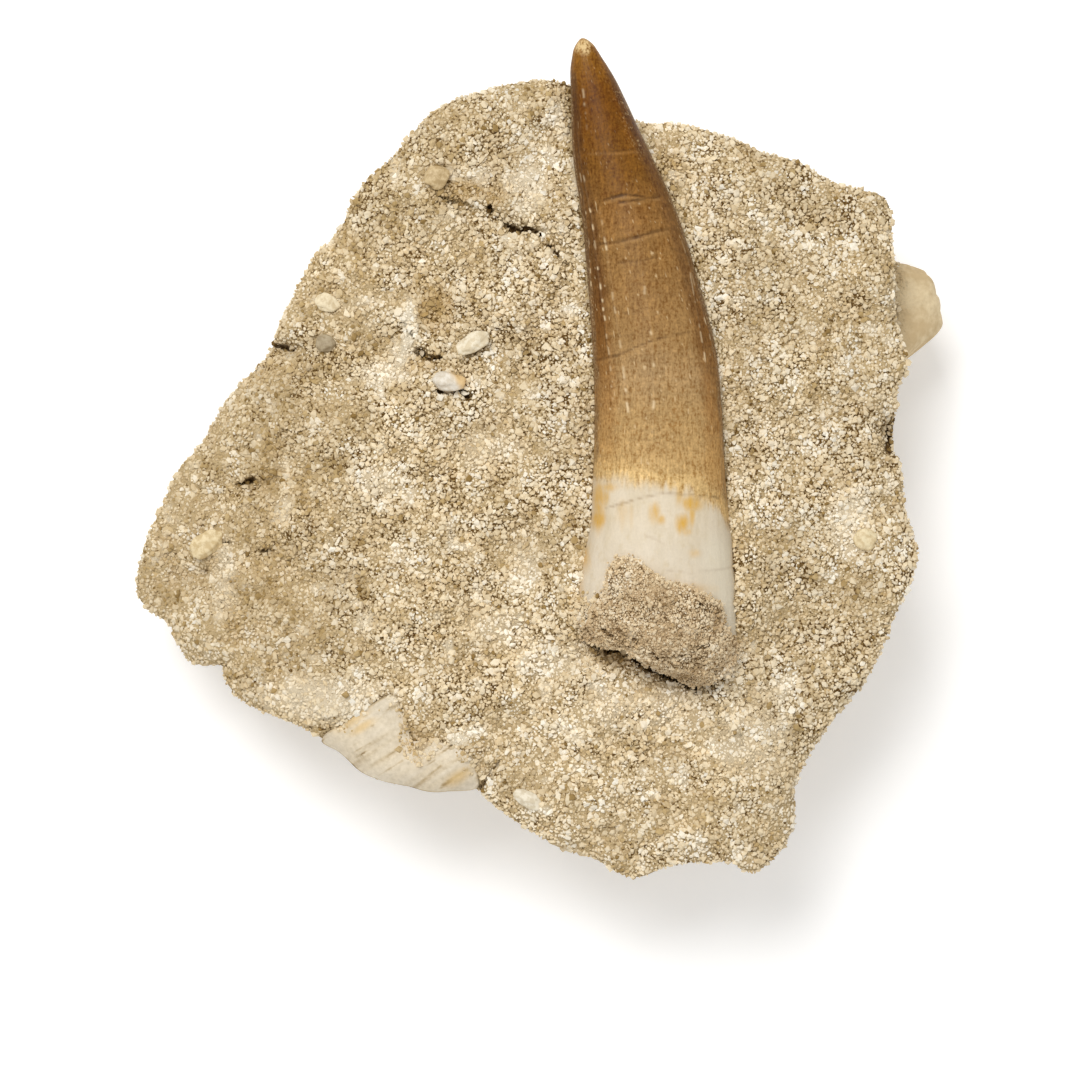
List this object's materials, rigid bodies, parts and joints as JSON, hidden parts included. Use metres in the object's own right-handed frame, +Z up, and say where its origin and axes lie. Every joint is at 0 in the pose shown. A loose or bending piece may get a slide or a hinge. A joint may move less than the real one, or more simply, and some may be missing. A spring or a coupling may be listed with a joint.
{
  "type": "fossil plesiosaur tooth",
  "caption": "Long, slightly curved conical fossil reptile tooth lying on its side in a rough slab of sandy rock, with a crust of rock on its root.",
  "frame": {"origin": "in the middle of the flat spot under the slab, which it rests on", "axes": "+Z up out of the slab's top face, +Y from the tooth's root towards its tip, +X to the right when the tip points away"},
  "size_m": [0.0659, 0.0671, 0.0235],
  "materials": {
    "matrix": "rough, granular, matt",
    "tooth": "smooth enamel with a soft sheen, chalky on the root",
    "crust": "rough, granular, matt",
    "bone": "smooth, chalky",
    "shell": "smooth, matt",
    "pebble": "smooth, matt"
  },
  "bodies": {
    "root": {"matrix": "matrix", "tooth": "tooth", "root_crust": "crust", "bone_flake": "bone", "shell_fragment": "shell", "bone_chip": "bone", "grey_pebble": "pebble", "pale_chip": "shell", "round_pebble": "pebble", "cream_lump": "shell", "right_chip": "shell", "lower_chip": "bone"}
  },
  "joints": []
}
